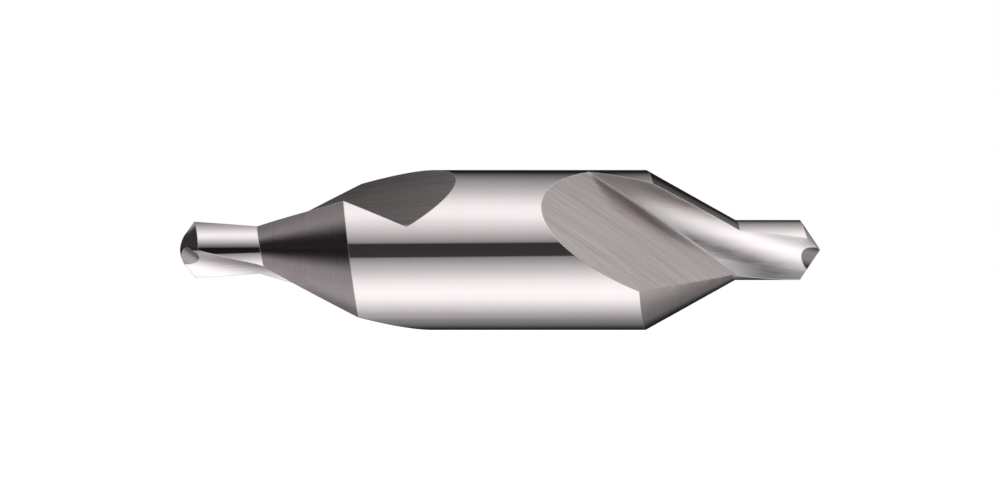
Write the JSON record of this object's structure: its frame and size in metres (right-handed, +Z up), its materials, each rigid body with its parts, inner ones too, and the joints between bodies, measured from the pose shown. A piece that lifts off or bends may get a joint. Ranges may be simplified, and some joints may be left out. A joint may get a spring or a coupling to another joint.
{
  "type": "centre drill",
  "caption": "Double-ended centre drill: round ground shank with a fluted pilot and 60 degree countersink at each end, for right-hand rotation.",
  "frame": {"origin": "on the tool's axis at mid-length", "axes": "+X along the axis towards one tip, +Z up as in the picture, -Y towards the camera"},
  "size_m": [0.08, 0.02, 0.02],
  "materials": {
    "ground_steel": "bright ground high-speed steel, with fine grinding lines in the flutes"
  },
  "bodies": {
    "root": {"centre_drill": "ground_steel"}
  },
  "joints": []
}
